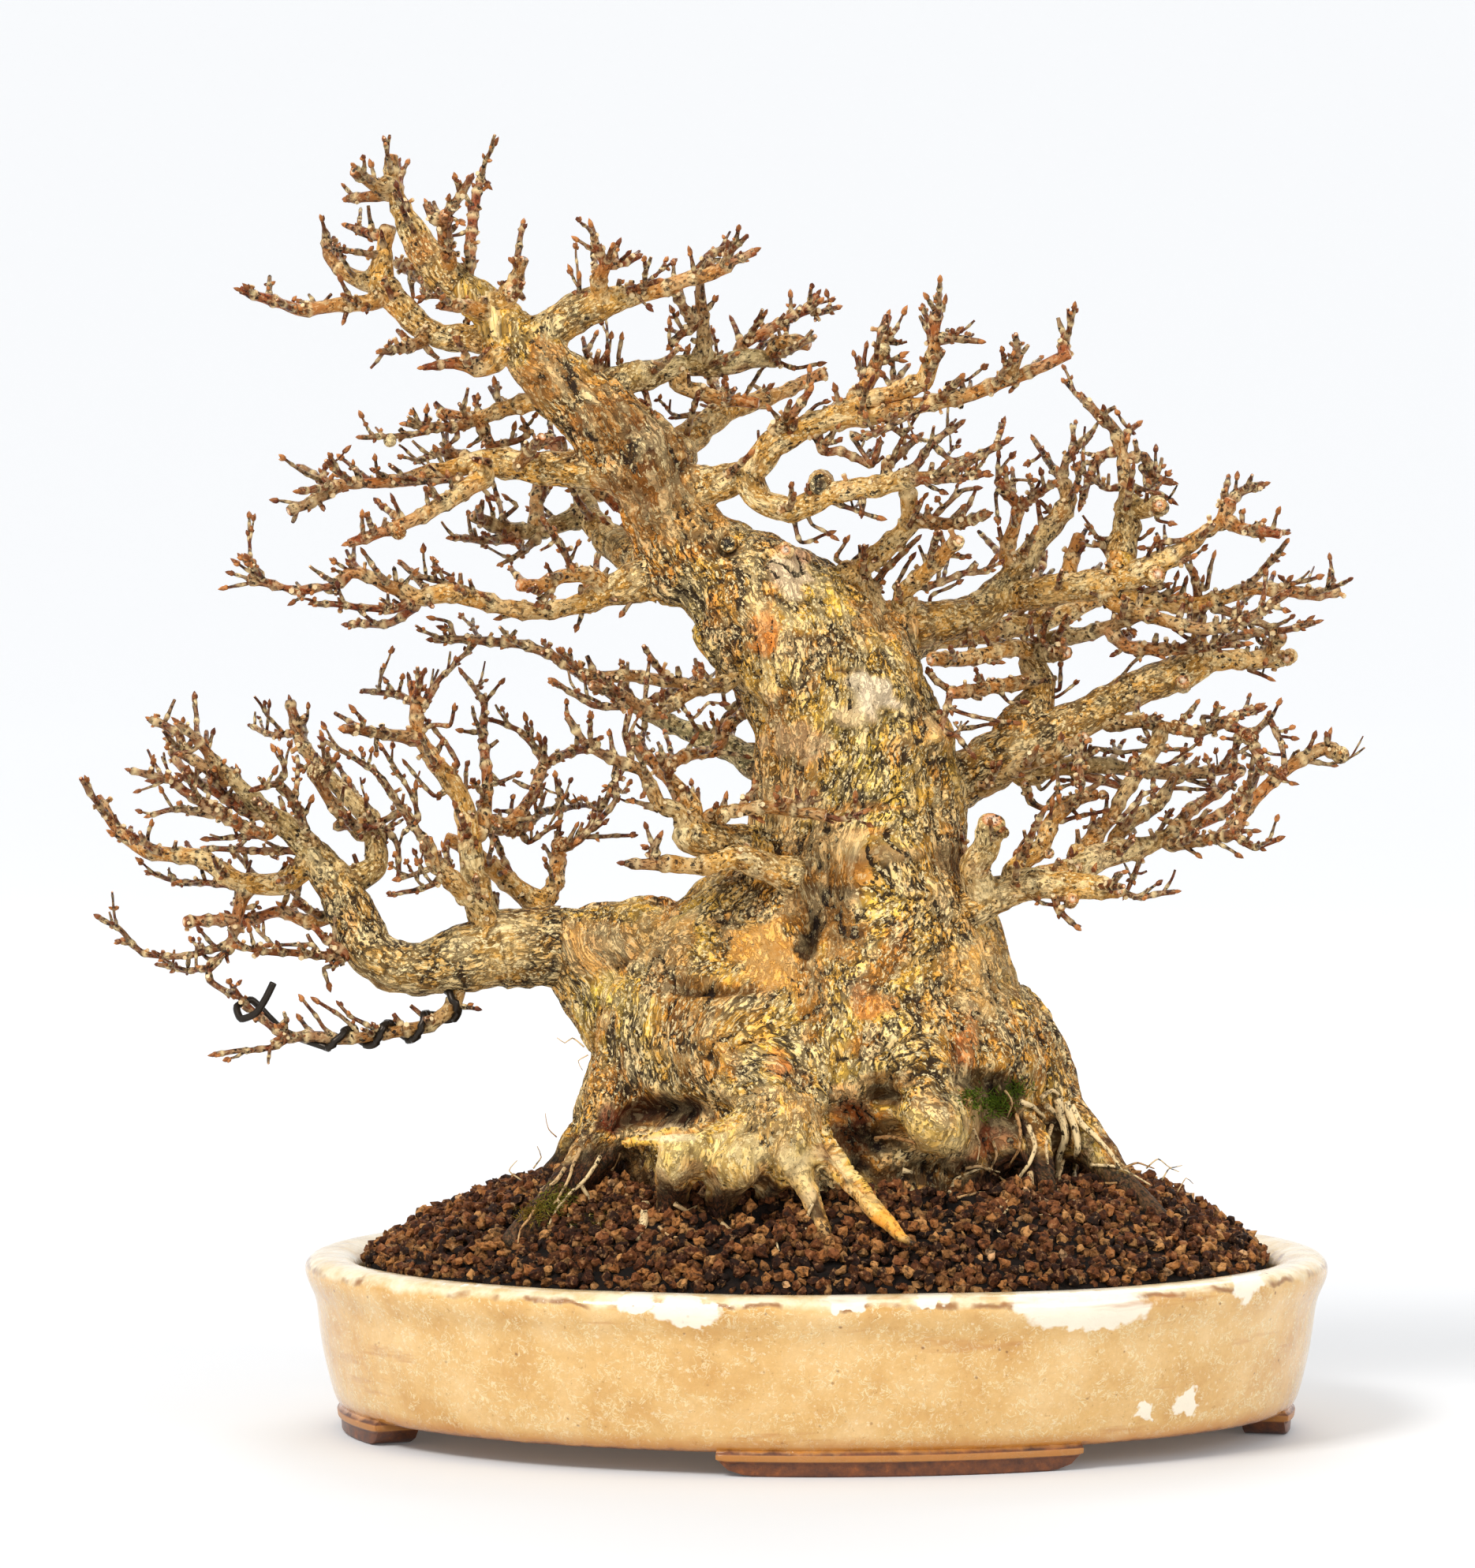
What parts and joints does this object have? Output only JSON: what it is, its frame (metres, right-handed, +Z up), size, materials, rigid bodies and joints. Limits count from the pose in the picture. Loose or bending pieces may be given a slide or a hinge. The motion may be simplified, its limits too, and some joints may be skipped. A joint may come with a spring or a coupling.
{
  "type": "bonsai tree in a pot",
  "caption": "Leafless maple bonsai with a broad flared trunk and layered twiggy branches, rooted in granular soil in an oval glazed pot on low feet.",
  "frame": {"origin": "on the surface the pot stands on, under the middle of the whole outline", "axes": "+X to the right across the tree's front, the front faces -Y, +Z up"},
  "size_m": [0.3192, 0.196, 0.3232],
  "materials": {
    "pot": "glossy honey glaze with fine crackle, cream at the lip, bare rust-brown clay at the feet",
    "soil": "moist dark brown baked-clay granules",
    "tree": "golden tan bark with dark flaky fissures, red-brown twigs",
    "training_wire": "dark anodised, satin",
    "tie_down_wire": "plain drawn wire",
    "drain_mesh": "dark matte netting",
    "mesh_clip": "plain drawn wire",
    "moss": "soft green moss"
  },
  "bodies": {
    "root": {"pot": "pot", "soil": "soil", "tree": "tree", "training_wire": "training_wire", "tie_down_wire": "tie_down_wire", "drain_mesh_left": "drain_mesh", "drain_mesh_right": "drain_mesh", "mesh_clip_left": "mesh_clip", "mesh_clip_right": "mesh_clip", "moss_left": "moss", "moss_right": "moss"}
  },
  "joints": []
}
